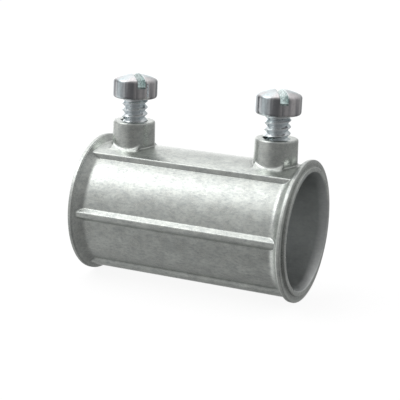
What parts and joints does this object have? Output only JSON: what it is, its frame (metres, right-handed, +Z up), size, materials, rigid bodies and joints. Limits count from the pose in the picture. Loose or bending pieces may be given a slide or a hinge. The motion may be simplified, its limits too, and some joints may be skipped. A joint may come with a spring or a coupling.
{
  "type": "conduit set-screw coupling",
  "caption": "Short flanged metal sleeve that joins two ends of thin-wall conduit, each gripped by a slotted set screw in a raised boss.",
  "frame": {"origin": "middle of the coupling, on the axis of its bore", "axes": "+X along the bore towards the right-hand socket, +Z up through the screw bosses"},
  "size_m": [0.0372, 0.0228, 0.0334],
  "materials": {
    "cast_zinc": "bare die-cast zinc alloy, satin with a fine mottled grain",
    "plated_steel": "bright zinc-plated steel with a faint blue tint"
  },
  "bodies": {
    "coupling": {"coupling_body": "cast_zinc"},
    "left_screw": {"set_screw_left": "plated_steel"},
    "right_screw": {"set_screw_right": "plated_steel"}
  },
  "joints": [
    {"name": "left_screw_advance", "type": "slide", "parent": "coupling", "child": "left_screw", "axis": [0, 0, 1], "range_m": [-0.0035, 0.0035]},
    {"name": "right_screw_advance", "type": "slide", "parent": "coupling", "child": "right_screw", "axis": [0, 0, 1], "range_m": [-0.0035, 0.0035]}
  ]
}
